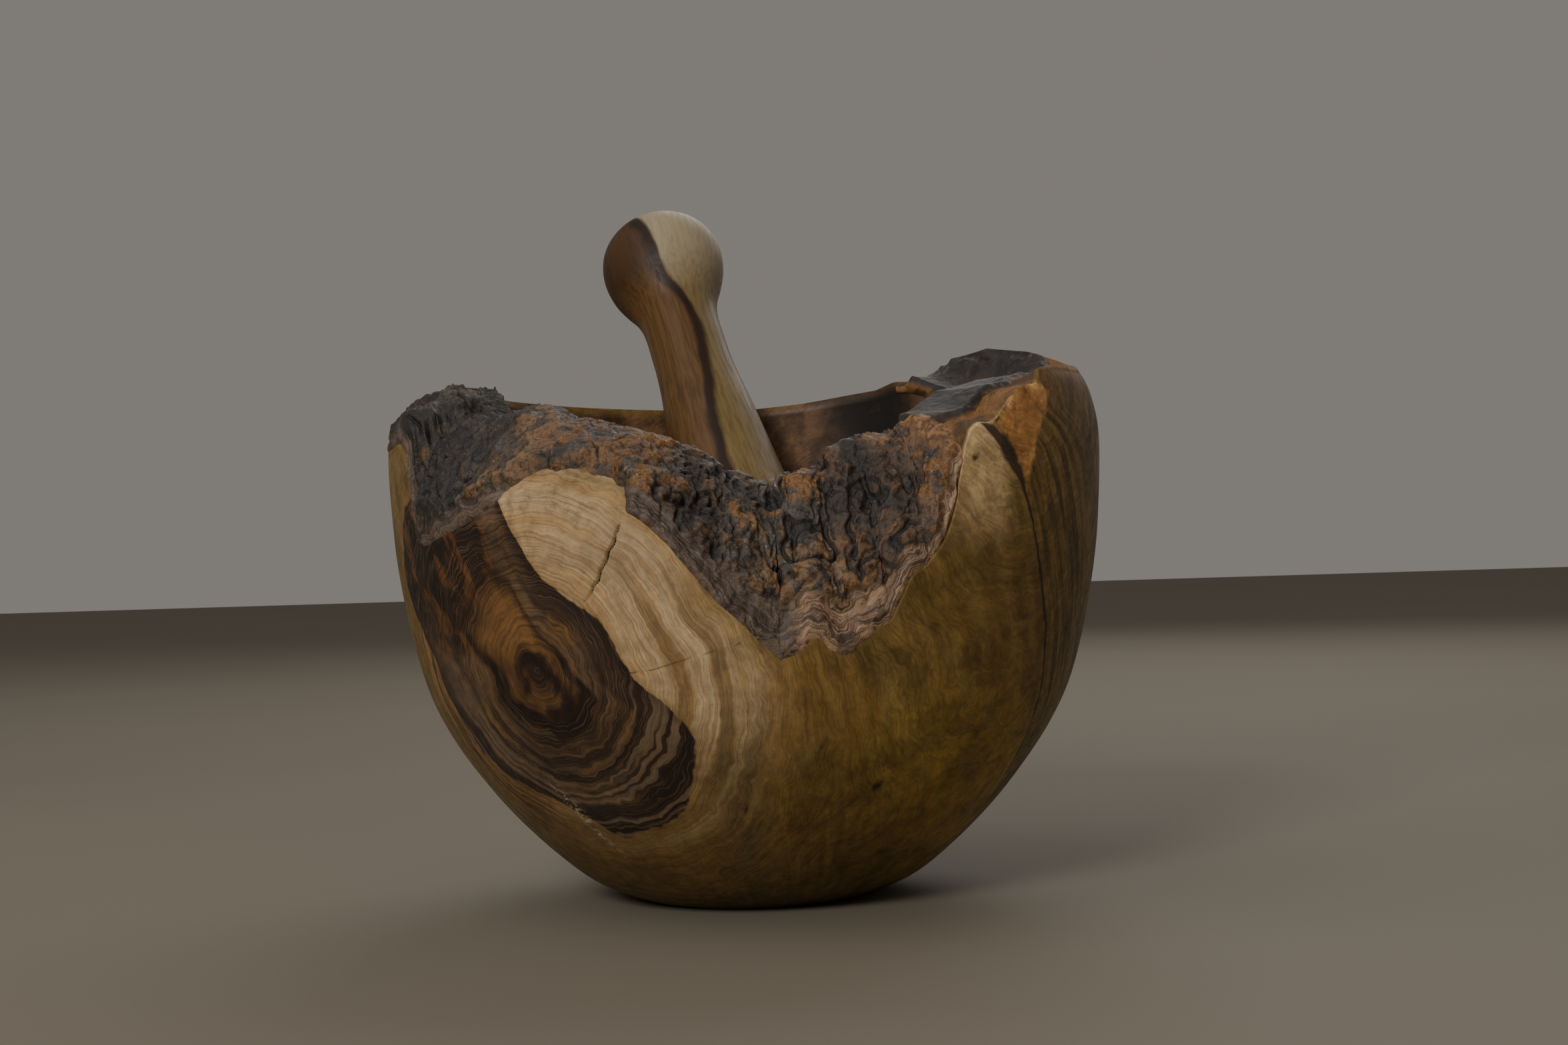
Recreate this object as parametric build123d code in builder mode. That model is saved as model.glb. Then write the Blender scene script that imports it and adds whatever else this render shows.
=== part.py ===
from build123d import *
import os
from bisect import bisect_right
from math import atan2, cos, degrees, hypot, radians, sin, sqrt

# Rustic olive-wood mortar with a natural bark edge, and its loose pestle. Millimetres.
# +Z is up and the origin is the centre of the flat base. The front, with the deepest dip
# of the rim, is -Y, and the right is +X. Angles round the bowl are degrees from the
# front, positive to the right.

# ---------------------------------------------------------------- driving dimensions

BOWL_RADIUS = 70.0  # widest turned radius, just under the rim
WIDEST_HEIGHT = 87.0  # where the bowl is widest
FOOT_RADIUS = 23.2  # flat that the mortar stands on
BLANK_HEIGHT = 112.0  # turned blank before the natural surface cuts it
FLOOR_HEIGHT = 28.0  # wood left under the hollow
MOUTH_RADIUS = 50.5  # hollow at rim height
BARK_THICKNESS = 3.0  # crust left on the natural surface, along its normal

# Turned outer wall, from the foot to the rounded shoulder: (radius, height).
WALL_OUTLINE = [
    (FOOT_RADIUS, 0.0),
    (31.8, 3.9),
    (46.8, 17.0),
    (58.4, 32.2),
    (66.0, 52.0),
    (69.4, 74.0),
    (BOWL_RADIUS, WIDEST_HEIGHT),
    (67.0, 100.0),
    (55.0, BLANK_HEIGHT),
]

# Turned hollow, from the middle of its floor to above the rim: (radius, height).
HOLLOW_OUTLINE = [
    (0.0, FLOOR_HEIGHT),
    (25.0, 33.0),
    (39.5, 47.0),
    (46.5, 66.0),
    (MOUTH_RADIUS, 92.0),
    (MOUTH_RADIUS + 0.5, BLANK_HEIGHT + 4.0),
]

# The log's natural surface under the bark: (angle, height at the wall, height at the mouth).
NATURAL_SURFACE = [
    (-180, 84.0, 98.5),
    (-150, 87.0, 99.0),
    (-120, 92.0, 100.0),
    (-92, 90.0, 101.0),
    (-74, 86.0, 99.0),
    (-62, 72.0, 96.0),
    (-48, 72.0, 94.0),
    (-36, 77.0, 90.5),
    (-22, 77.0, 86.5),
    (-12, 69.0, 83.5),
    (-4, 57.0, 80.0),
    (5, 48.5, 77.0),
    (14, 50.0, 79.5),
    (22, 56.0, 84.5),
    (30, 68.0, 86.5),
    (38, 86.0, 90.0),
    (50, 96.0, 95.0),
    (68, 100.0, 97.0),
    (90, 104.0, 98.0),
    (112, 110.0, 97.0),
    (132, 106.0, 99.0),
    (155, 92.0, 100.0),
    (180, 84.0, 98.5),
]
CROWN = 1.8  # how much steeper the natural surface is at the wall than halfway in

# Where bark is left: start angle, end angle, and the radius inside which it is trimmed.
BARK_PATCHES = {
    "front_bark": (-63, 35, 0.0),
    "right_bark": (58, 136, 0.0),
    "back_bark": (150, 214, 57.0),
}

# Pestle, along its own axis from the middle of its head: (radius, distance).
PESTLE_OUTLINE = [
    (0.0, -15.0),
    (6.0, -14.0),
    (13.6, -7.5),
    (17.3, 4.0),
    (14.8, 24.0),
    (11.4, 46.5),
    (9.7, 66.0),
    (8.4, 86.0),
    (9.9, 98.5),
    (13.6, 110.0),
    (9.8, 118.6),
    (4.6, 120.5),
    (0.0, 120.8),
]
HEAD_CENTRE = (7.5, 0.0, 44.2)
PESTLE_TILT = 36.8  # from upright
PESTLE_LEANS_TO = -158.0  # angle round the bowl: to the back and a little left

# ---------------------------------------------------------------- natural surface

GRID_HALF_SPAN = 80.0
GRID_STEPS = 20


def around_the_rim(angle, column):
    """Smooth value of one column of NATURAL_SURFACE at an angle, by a cubic through the rows."""
    rows = NATURAL_SURFACE
    last = len(rows) - 1
    i = min(bisect_right([row[0] for row in rows], angle) - 1, last - 1)

    def slope(k):
        """Slope at row k from its two neighbours, round the join at the back."""
        before = rows[k - 1] if k > 0 else rows[last - 1]
        after = rows[k + 1] if k < last else rows[1]
        return (after[column] - before[column]) / ((after[0] - before[0]) % 360)

    step = rows[i + 1][0] - rows[i][0]
    t = (angle - rows[i][0]) / step
    return (
        (2 * t**3 - 3 * t**2 + 1) * rows[i][column]
        + (t**3 - 2 * t**2 + t) * step * slope(i)
        + (3 * t**2 - 2 * t**3) * rows[i + 1][column]
        + (t**3 - t**2) * step * slope(i + 1)
    )


MEAN_MOUTH = sum(row[2] for row in NATURAL_SURFACE) / len(NATURAL_SURFACE)


def wall_radius(height):
    """Radius of the turned wall at a height, straight between the outline's points."""
    for (r0, z0), (r1, z1) in zip(WALL_OUTLINE, WALL_OUTLINE[1:]):
        if height <= z1:
            return r0 + (r1 - r0) * (height - z0) / (z1 - z0)
    return WALL_OUTLINE[-1][0]


def natural_height(x, y):
    """Height of the natural surface above a point of the base plane."""
    angle = degrees(atan2(x, -y))
    at_wall = around_the_rim(angle, 1)
    at_mouth = around_the_rim(angle, 2)
    edge_radius = wall_radius(min(at_wall, WIDEST_HEIGHT))
    inward = (edge_radius - hypot(x, y)) / (edge_radius - MOUTH_RADIUS)
    if inward <= 0:
        return at_wall + (at_mouth - at_wall) * CROWN * max(inward, -0.3)
    if inward < 1:
        return at_mouth - (at_mouth - at_wall) * (1 - inward) ** CROWN
    share = hypot(x, y) / MOUTH_RADIUS
    return MEAN_MOUTH + (at_mouth - MEAN_MOUTH) * share**2 * (3 - 2 * share)


def raised_height(x, y, thickness):
    """Natural height raised so that the layer between the two is about as thick as asked."""
    d = 0.5
    run_x = (natural_height(x + d, y) - natural_height(x - d, y)) / (2 * d)
    run_y = (natural_height(x, y + d) - natural_height(x, y - d)) / (2 * d)
    return natural_height(x, y) + thickness * sqrt(1 + min(run_x**2 + run_y**2, 5.0))


def natural_face(thickness):
    """One spline face over the whole blank, along the natural surface raised by a thickness."""
    pitch = 2 * GRID_HALF_SPAN / GRID_STEPS
    marks = [-GRID_HALF_SPAN + pitch * i for i in range(GRID_STEPS + 1)]
    points = [[(x, y, raised_height(x, y, thickness)) for x in marks] for y in marks]
    return Face.make_surface_from_array_of_points(points, tol=0.5)


with BuildPart() as above_wood:
    extrude(natural_face(0.0), amount=2 * BLANK_HEIGHT, dir=(0, 0, 1))

with BuildPart() as above_bark:
    extrude(natural_face(BARK_THICKNESS), amount=2 * BLANK_HEIGHT, dir=(0, 0, 1))

# ---------------------------------------------------------------- turned blank and bowl

with BuildPart() as blank:
    with BuildSketch(Plane.XZ):
        with BuildLine():
            wall = Spline(*WALL_OUTLINE)
            Polyline(wall @ 1, (0, BLANK_HEIGHT), (0, 0), wall @ 0)
        make_face()
    revolve(axis=Axis.Z)
    with BuildSketch(Plane.XZ):
        with BuildLine():
            hollow = Spline(*HOLLOW_OUTLINE, tangents=[(1, 0), (0, 1)])
            Polyline(hollow @ 1, (0, (hollow @ 1).Y), hollow @ 0)
        make_face()
    revolve(axis=Axis.Z, mode=Mode.SUBTRACT)

with BuildPart() as mortar_bowl:
    add(blank.part)
    add(above_wood.part, mode=Mode.SUBTRACT)

# ---------------------------------------------------------------- bark patches


def on_circle(radius, angle):
    """Point of the base plane at an angle round the bowl."""
    return (radius * sin(radians(angle)), -radius * cos(radians(angle)))


def bark_patch(start, end, trim_radius):
    """Crust on the natural surface between two angles, cut off by the turned walls."""
    reach = 2 * BOWL_RADIUS
    spokes = [start + (end - start) * i / 4 for i in range(5)]
    with BuildPart() as patch:
        add(blank.part)
        add(above_wood.part, mode=Mode.INTERSECT)
        add(above_bark.part, mode=Mode.SUBTRACT)
        with BuildSketch():
            with BuildLine():
                Polyline((0, 0), *[on_circle(reach, angle) for angle in spokes], close=True)
            make_face()
            if trim_radius:
                Circle(trim_radius, mode=Mode.SUBTRACT)
        extrude(amount=2 * BLANK_HEIGHT, mode=Mode.INTERSECT)
    return patch.part


# ---------------------------------------------------------------- pestle

tilt = radians(PESTLE_TILT)
heading = Vector(*on_circle(1, PESTLE_LEANS_TO))
pestle_axis = heading * sin(tilt) + Vector(0, 0, cos(tilt))
sideways = Vector(0, 0, 1).cross(heading)
pestle_plane = Plane(origin=HEAD_CENTRE, x_dir=sideways, z_dir=sideways.cross(pestle_axis))

with BuildPart() as pestle:
    with BuildSketch(pestle_plane):
        with BuildLine():
            side = Spline(*PESTLE_OUTLINE)
            Line(side @ 1, side @ 0)
        make_face()
    revolve(axis=Axis(HEAD_CENTRE, pestle_axis))

# ---------------------------------------------------------------- files

os.makedirs("parts", exist_ok=True)
pieces = {"mortar_bowl": mortar_bowl.part, "pestle": pestle.part}
for name, extent in BARK_PATCHES.items():
    pieces[name] = bark_patch(*extent)
for name, piece in pieces.items():
    piece.label = name
    export_step(piece, f"parts/{name}.step")
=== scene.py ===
import math
from types import SimpleNamespace

import bmesh
import bpy
import numpy as np
from mathutils import Matrix, Vector


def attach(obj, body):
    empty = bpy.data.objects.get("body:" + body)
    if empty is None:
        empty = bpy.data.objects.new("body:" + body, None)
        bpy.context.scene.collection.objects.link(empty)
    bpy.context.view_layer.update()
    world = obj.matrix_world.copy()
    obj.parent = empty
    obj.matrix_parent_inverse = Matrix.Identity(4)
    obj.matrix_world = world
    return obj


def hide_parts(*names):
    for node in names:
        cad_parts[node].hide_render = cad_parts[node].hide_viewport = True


# Looks of the olive-wood mortar and pestle. Lengths in this script are millimetres in the
# part's own frame and are turned into metres when a mesh is made. Angles round the bowl
# are degrees from the front (-Y), positive to the right (+X). A short table pairs its first
# column with its second, and along() reads between its rows.

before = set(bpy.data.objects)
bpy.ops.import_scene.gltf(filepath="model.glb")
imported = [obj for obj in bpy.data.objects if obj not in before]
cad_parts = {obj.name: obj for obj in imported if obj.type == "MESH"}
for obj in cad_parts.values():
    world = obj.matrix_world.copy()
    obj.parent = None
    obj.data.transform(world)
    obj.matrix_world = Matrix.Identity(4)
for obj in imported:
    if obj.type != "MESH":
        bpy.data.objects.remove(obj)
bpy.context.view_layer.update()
MM = 0.001

# -------------------- sizes shared with the part

# Turned wall and hollow, from the middle outwards and upwards: (radius, height).
WALL = [(0, 0), (22.0, 0), (23.2, 0.25), (31.8, 3.9), (39.2, 9.6), (46.8, 17), (52.8, 24.2),
        (58.4, 32.2), (62.8, 41), (66, 52), (68.3, 64), (69.4, 74), (70, 87), (69.2, 94),
        (67, 100), (61.5, 107), (55, 112)]
HOLLOW = [(0, 28), (12, 29), (25, 33), (33, 39.4), (39.5, 47), (46.5, 66), (49, 78),
          (50.5, 92), (51, 116)]
MOUTH_RADIUS = 50.5
# How much steeper the natural surface is at the wall than halfway in: (angle, power).
CROWN = [(-180, 1.8), (-120, 2.4), (-95, 3.6), (-66, 3.4), (-57, 2.2), (-40, 1.8), (45, 1.8),
         (75, 2.6), (130, 2.6), (160, 1.8), (180, 1.8)]

# Top edge of the turned wall: (angle, height). The dip at the front is the deepest.
WOOD_EDGE = [
    (-180, 85), (-165, 84.5), (-150, 87), (-120, 92), (-92, 90), (-76, 88.5), (-67, 89.5),
    (-63.6, 87), (-63.2, 78), (-61.5, 71), (-58, 70.2), (-47.3, 73.2), (-42.5, 75),
    (-38.6, 77.6), (-33, 79.5), (-27.7, 78.8), (-24, 77.1), (-18.3, 75.7), (-14.4, 72.3),
    (-11.4, 68.6), (-7.7, 63), (-5.2, 59.2), (-2.1, 56), (2.2, 50.7), (4.4, 48.5), (6.2, 49.6),
    (8.2, 50.4), (9.2, 52.4), (10.3, 52.3), (11.7, 50.3), (13.9, 49.4), (15.8, 49.9),
    (16.9, 51.8), (18.4, 52.3), (19.3, 53.7), (21.4, 54.4), (22.5, 57), (23.5, 59.6),
    (24.6, 62.5), (26.8, 63.9), (29.1, 67), (30.6, 69.5), (31.6, 74), (32.3, 79),
    (33.2, 84.5), (34.2, 87.5), (35.6, 88.8), (37.6, 88.6), (39.2, 89.2), (41.8, 92), (45.4, 95.4),
    (50.4, 96.4), (53, 99.4), (60, 100.4), (72, 100.5), (90, 103), (105, 107), (118, 109),
    (130, 108), (140, 104), (150, 97), (165, 88.5), (180, 85),
]
# Top edge of the hollow: (angle, height).
MOUTH_EDGE = [
    (-180, 99), (-150, 99.5), (-120, 100), (-92, 100), (-74, 99.2), (-62, 96.6), (-48, 95.2),
    (-40, 94.4), (-33, 92.6), (-29, 91.8), (-21, 89.6), (-15, 88), (-11, 86.6), (-7.8, 85),
    (-5.3, 83.2), (-2.6, 82.2), (1.2, 80.9), (4, 80.4), (8.4, 80.7), (14, 82.9), (18, 85.8),
    (21.3, 87.9), (26, 88.2), (31.5, 89.5), (36, 90.6), (45, 94.6), (60, 97), (75, 98),
    (90, 98), (112, 97.5), (125, 100.5), (134, 103), (140, 103.4), (145, 102), (154, 101.2),
    (165, 100), (180, 99),
]
HEAD_CENTRE = np.array((7.5, 0.0, 44.2))
PESTLE_TILT = math.radians(36.8)
PESTLE_LEANS_TO = math.radians(-158.0)
# Outline of the pestle from the middle of its head: (radius, distance along its axis).
PESTLE = [(0, -15), (3.2, -14.7), (6, -14), (10.3, -11.4), (13.6, -7.5), (16.2, -2), (17.3, 4),
          (17.1, 10), (16.2, 17), (14.8, 24), (12.9, 35), (11.4, 46.5), (10.5, 57), (9.7, 66),
          (8.8, 74), (8.45, 80), (8.35, 86), (8.4, 91), (8.8, 95), (9.9, 98.7), (11.6, 102.3),
          (13, 106), (13.6, 110), (13.2, 113.4), (11.9, 116.3), (9.6, 118.7), (6.4, 120.2),
          (3.2, 120.7), (0, 120.8)]

# -------------------- noise


def hashed(cell, salt):
    """Pseudo-random value in 0..1 for each whole-number cell."""
    h = (cell[..., 0] * 374761393 + cell[..., 1] * 668265263 + cell[..., 2] * 2147483647
         + salt * 1274126177) & 0xFFFFFFFF
    h = ((h ^ (h >> 13)) * 1274126177) & 0xFFFFFFFF
    h = ((h ^ (h >> 16)) * 2246822519) & 0xFFFFFFFF
    return ((h ^ (h >> 15)) & 0xFFFFFF) / 0xFFFFFF


def value_noise(p, salt=0):
    """Smooth noise in -1..1."""
    cell = np.floor(p).astype(np.int64)
    t = p - cell
    t = t * t * t * (t * (t * 6 - 15) + 10)
    total = 0.0
    for dx in (0, 1):
        for dy in (0, 1):
            for dz in (0, 1):
                share = ((t[..., 0] if dx else 1 - t[..., 0]) * (t[..., 1] if dy else 1 - t[..., 1])
                         * (t[..., 2] if dz else 1 - t[..., 2]))
                total = total + share * hashed(cell + np.array((dx, dy, dz)), salt)
    return total * 2 - 1


def fractal(p, size, octaves=4, salt=0, gain=0.5):
    """Noise with its largest lumps about size across."""
    total, amplitude, norm = 0.0, 1.0, 0.0
    for k in range(octaves):
        total = total + amplitude * value_noise(p / size * 2**k + 17.3 * k, salt + k)
        norm += amplitude
        amplitude *= gain
    return total / norm


def smooth(low, high, x):
    """Smooth step from 0 at low to 1 at high."""
    t = np.clip((x - low) / (high - low), 0, 1)
    return t * t * (3 - 2 * t)


# -------------------- shape helpers


def along(rows, x):
    """Value of the second column of rows where the first is x."""
    table = np.array(rows, float)
    return np.interp(x, table[:, 0], table[:, 1])


def curve_through(points, steps):
    """Points on a smooth curve through the given ones, evenly spaced by length."""
    p = np.array(points, float)
    before = np.vstack([2 * p[0] - p[1], p[:-1]])
    after = np.vstack([p[1:], 2 * p[-1] - p[-2]])
    slope = (after - before) / 2
    t = np.linspace(0, 1, 24, endpoint=False)[:, None, None]
    a, b, ma, mb = p[:-1], p[1:], slope[:-1], slope[1:]
    dense = ((2 * t**3 - 3 * t**2 + 1) * a + (t**3 - 2 * t**2 + t) * ma
             + (3 * t**2 - 2 * t**3) * b + (t**3 - t**2) * mb)
    dense = np.vstack([dense.transpose(1, 0, 2).reshape(-1, 2), p[-1]])
    length = np.concatenate([[0], np.cumsum(np.linalg.norm(np.diff(dense, axis=0), axis=1))])
    where = np.linspace(0, length[-1], steps)
    return np.stack([np.interp(where, length, dense[:, k]) for k in (0, 1)], -1)


POLE_RADIUS = 0.01  # rows that end in a point stop this far from it
WALL_CURVE = curve_through(WALL[1:], 400)
HOLLOW_CURVE = curve_through(HOLLOW, 300)


def wall_radius(z):
    """Radius of the turned wall at a height."""
    return np.interp(z, WALL_CURVE[:, 1], WALL_CURVE[:, 0])


def place(angle, radius, z):
    """Position in the part's frame of a point at an angle round the bowl."""
    a = np.radians(angle)
    return np.stack([radius * np.sin(a), -radius * np.cos(a), z + 0 * a], -1)


def wood_edge(angle):
    """Height where the turned wall ends."""
    return along(WOOD_EDGE, (angle + 180) % 360 - 180)


def mouth_edge(angle):
    """Height where the hollow begins."""
    return along(MOUTH_EDGE, (angle + 180) % 360 - 180)


def front_drop(angle):
    """The mouth edge row is the top of the crust, so the natural surface runs lower there."""
    return (2 * smooth(-97, -86, angle) + 1.2 * smooth(-66, -58, angle)) * (1 - smooth(31, 36, angle))


def natural(angle, inward, drop=0.0):
    """Radius and height of the natural surface, inward 0 at the wall to 1 at the mouth."""
    edge = wood_edge(angle)
    mouth = mouth_edge(angle) - drop
    radius = wall_radius(edge)
    radius = radius + (MOUTH_RADIUS - radius) * inward
    return radius, mouth - (mouth - edge) * (1 - np.clip(inward, 0, 1)) ** along(CROWN, angle)


def grid_mesh(name, points, wrap_u=False, wrap_v=False, cap=False, attributes=None):
    """Mesh of quads over a grid of points [u, v, xyz] in millimetres, as an object."""
    nu, nv = points.shape[:2]
    index = np.arange(nu * nv).reshape(nu, nv)
    a = np.vstack([index, index[:1]]) if wrap_u else index
    a = np.hstack([a, a[:, :1]]) if wrap_v else a
    quads = np.stack([a[:-1, :-1], a[1:, :-1], a[1:, 1:], a[:-1, 1:]], -1).reshape(-1, 4)
    faces = quads.tolist()
    if cap:
        faces.append(index[0].tolist())
        faces.append(index[-1][::-1].tolist())
    mesh = bpy.data.meshes.new(name)
    mesh.from_pydata((points.reshape(-1, 3) * MM).tolist(), [], faces)
    for key, values in (attributes or {}).items():
        layer = mesh.attributes.new(key, "FLOAT", "POINT")
        layer.data.foreach_set("value", np.ascontiguousarray(values, np.float32).ravel())
    mesh.validate()
    mesh.shade_smooth()
    obj = bpy.data.objects.new(name, mesh)
    bpy.context.collection.objects.link(obj)
    return obj


def close_poles(obj):
    """Joins the points that fall together where the rows end in a point."""
    bm = bmesh.new()
    bm.from_mesh(obj.data)
    bmesh.ops.remove_doubles(bm, verts=bm.verts, dist=POLE_RADIUS * 3 * MM)
    bmesh.ops.recalc_face_normals(bm, faces=bm.faces)
    bm.to_mesh(obj.data)
    bm.free()


# -------------------- wood figure

WALL_ARC = math.radians(1) * 69  # millimetres round the wall for each degree
PITH = np.array((-37.4, -52.9, 47.8))  # where the pith meets the turned wall
INWARD = -PITH[:2] / np.linalg.norm(PITH[:2])  # the pith runs level, towards the bowl's axis
# Edge of the dark heartwood round the pith: (direction in degrees, distance).
HEARTWOOD = [
    (-180, 31), (-165, 29.5), (-150, 30), (-133, 28.5), (-112, 26), (-98, 28), (-88, 32),
    (-69, 31), (-53, 30.5), (-37, 29), (-26, 27.8), (-17, 24), (-8, 19), (6, 17.4), (31, 16.5),
    (53, 15), (75, 16.5), (85, 19.5), (95, 26), (101, 36), (115, 44), (140, 46), (160, 43),
    (170, 36), (180, 31),
]
# The long dark line down the right of the wall: (height, angle).
DARK_LINE = [(0, 72), (20, 66), (34, 60.5), (44.8, 57.2), (51.7, 55), (60, 51.6), (70.7, 47.8),
             (79.7, 44.4), (84.5, 42), (88.5, 38.2), (92, 33)]
# Corners of the bare orange facet behind the line's top, painted brighter where it faces up as painted
# light: (angle, height).
ORANGE_PATCH = [(39, 88.6), (41.8, 92), (45.4, 95.6), (50.4, 97), (54, 95), (49.2, 88), (46.9, 80),
                (46.6, 75.5), (43.7, 83), (41, 87)]


def to_segment(x, y, start, end):
    """Distance to a straight piece, and how far along it (0..1) its nearest point is."""
    (x0, y0), (x1, y1) = start, end
    t = np.clip(((x - x0) * (x1 - x0) + (y - y0) * (y1 - y0))
                / ((x1 - x0) ** 2 + (y1 - y0) ** 2), 0, 1)
    return np.hypot(x - x0 - t * (x1 - x0), y - y0 - t * (y1 - y0)), t


def polygon_distance(x, y, corners):
    """Signed distance to a polygon, positive inside."""
    c = np.array(corners, float)
    best = np.full(x.shape, 1e9)
    inside = np.zeros(x.shape, bool)
    for (x0, y0), (x1, y1) in zip(c, np.roll(c, -1, 0)):
        best = np.minimum(best, to_segment(x, y, (x0, y0), (x1, y1))[0])
        crosses = (y0 > y) != (y1 > y)
        with np.errstate(divide="ignore", invalid="ignore"):
            inside ^= crosses & (x < (x1 - x0) * (y - y0) / (y1 - y0) + x0)
    return np.where(inside, best, -best)


def figure(p):
    """Distance from the pith, share of the way to the heartwood's edge, and offset from the pith."""
    v = p - PITH
    depth = v[..., 0] * INWARD[0] + v[..., 1] * INWARD[1]
    across = v[..., 0] * INWARD[1] - v[..., 1] * INWARD[0]
    deep = np.clip(depth, 0, 200)
    bend = fractal(p, 45, 2, 5)
    across = across - 0.10 * deep + 0.07 * deep * bend
    up = v[..., 2] - 0.04 * deep + 0.05 * deep * fractal(p + 50, 38, 2, 9)
    distance = np.hypot(across, up)
    wobble = 1 + 0.035 * fractal(p, 9, 3, 3)
    ratio = distance / along(HEARTWOOD, np.degrees(np.arctan2(up, across))) * wobble
    return distance, ratio, across, up


# -------------------- bowl

# The open crack below the bare nose, from its top down: (angle, height).
CRACK = [(-18.2, 72.6), (-18.9, 70.9), (-19.2, 69.6), (-20.3, 67.9), (-20.6, 66.6), (-21.7, 64.9),
         (-22.2, 63.2), (-23.2, 62.1), (-23.5, 61), (-24.7, 59.6)]
CRACK_DEPTH = 0.9
# Dark hook of heartwood at the pith, on the wall: (angle, height).
HOOK = [(-38.6, 44.6), (-38.8, 48.3), (-36.8, 50.3), (-34.2, 49.6), (-32.8, 47.2), (-31.2, 43.8),
        (-29.8, 41.2), (-31.5, 39.4), (-34.0, 40.2)]
# Hairline checks on the wall: rows of (angle, height), from left to right.
HAIRLINES = [
    [(-21, 47), (-15, 47.6), (-9, 49.6), (-3, 51.4), (1, 53)],
    [(-17.6, 17.7), (-15, 14), (-12.5, 10.8), (-10.8, 7.3)],
    [(-46, 33), (-40, 31.2), (-34, 30.6)],
]
KNOTS = [(23.7, 25.4, 1.5), (34.9, 82.7, 0.7), (12, 33, 0.8), (-2, 22, 0.6)]  # angle, height, radius

COLUMN_SPACING = 0.9
# Columns stand closer at the crack, at the step on the left and at the right-hand peak:
# (first angle, last angle, spacing, where the wide columns stop, where they go on).
CLOSE_COLUMNS = [(-26.5, -16.5, 0.16, -27, -16), (-64.4, -60.4, 0.25, -65, -60),
                 (31, 35.2, 0.3, 30.5, 35.5)]
LEVEL_ROWS_TOP = 46  # below this height the rows on the wall are level
FLOOR_ROWS_TOP = 30  # below this height the rows in the hollow are rings on its floor
FAR = 9.0  # distance given to a mark where it can't be
OFF_WALL = -40.0  # the same, for the dark line and the orange facet


def path_distance(angle, z, path, radius):
    """Distance on the wall to a path, and how far along it (0..1) the nearest point is."""
    arc = math.radians(1) * radius
    points = [(a * arc, b) for a, b in path]
    best = np.full(np.shape(angle), 1e9)
    where = np.zeros(np.shape(angle))
    for k in range(len(path) - 1):
        d, t = to_segment(angle * arc, z, points[k], points[k + 1])
        where = np.where(d < best, (k + t) / (len(path) - 1), where)
        best = np.minimum(best, d)
    return best, where


def bowl_angles():
    """Angles of the bowl's columns."""
    wide = np.arange(-180, 180, COLUMN_SPACING)
    close = []
    for first, last, spacing, stop, go_on in CLOSE_COLUMNS:
        wide = wide[(wide <= stop) | (wide >= go_on)]
        close.append(np.arange(first, last, spacing))
    return np.sort(np.concatenate([wide, *close]))


def bowl_rows(angle):
    """Radius and height of the rows from the foot over the rim to the hollow's floor.

    Two more grids are 1 on the turned wall and 1 in the hollow, and 0 elsewhere.
    """
    low = WALL_CURVE[WALL_CURVE[:, 1] <= LEVEL_ROWS_TOP]
    pick = np.linspace(0, len(low) - 1, 34)
    foot_r, foot_z = [np.interp(pick, np.arange(len(low)), low[:, k]) for k in (0, 1)]
    base_r = np.array([POLE_RADIUS, 8, 16])
    r_low = np.concatenate([base_r, foot_r])[None, :] + 0 * angle
    z_low = np.concatenate([0 * base_r, foot_z])[None, :] + 0 * angle

    upward = np.linspace(0, 1, 87)[None, 1:]
    z_high = foot_z[-1] + (wood_edge(angle) - foot_z[-1]) * upward
    r_high = wall_radius(z_high)

    inward = np.linspace(0, 1, 20)[None, 1:]
    drop = front_drop(angle)
    r_rim, z_rim = natural(angle + 0 * inward, inward, drop)
    rough = fractal(place(angle + 0 * inward, r_rim, z_rim), 5, 4, 21)
    z_rim = z_rim + 0.7 * rough * np.sin(np.pi * inward) ** 0.5

    mouth = mouth_edge(angle) - drop
    downward = np.linspace(0, 1, 34)[None, 1:]
    z_down = mouth + (FLOOR_ROWS_TOP - mouth) * downward
    r_down = np.interp(z_down, HOLLOW_CURVE[:, 1], HOLLOW_CURVE[:, 0])
    r_floor = np.array([12, 8, 4, POLE_RADIUS])[None, :] + 0 * angle
    z_floor = np.interp(r_floor, HOLLOW_CURVE[:, 0], HOLLOW_CURVE[:, 1])

    wall, rim, hollow = (1, 0), (0, 0), (0, 1)
    stretches = [(r_low, z_low, wall), (r_high, z_high, wall), (r_rim, z_rim, rim),
                 (r_down, z_down, hollow), (r_floor, z_floor, hollow)]
    radius = np.hstack([r for r, z, kind in stretches])
    height = np.hstack([z for r, z, kind in stretches])
    on_wall, inside = [np.hstack([np.full(r.shape, float(kind[k])) for r, z, kind in stretches])
                       for k in (0, 1)]
    return radius, height, on_wall, inside


def crack_groove(angle, z):
    """Share of the crack's depth at points on the wall."""
    d, s = path_distance(angle, z, CRACK, 68)
    width = 0.08 + 0.15 * np.sin(np.pi * np.clip(s * 0.85 + 0.1, 0, 1)) ** 1.5
    piece = np.stack([np.floor(s * 14), 0 * s, 0 * s], -1).astype(np.int64)
    return np.exp(-((d / (width * (0.75 + 0.5 * hashed(piece, 8)))) ** 2))


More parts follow.
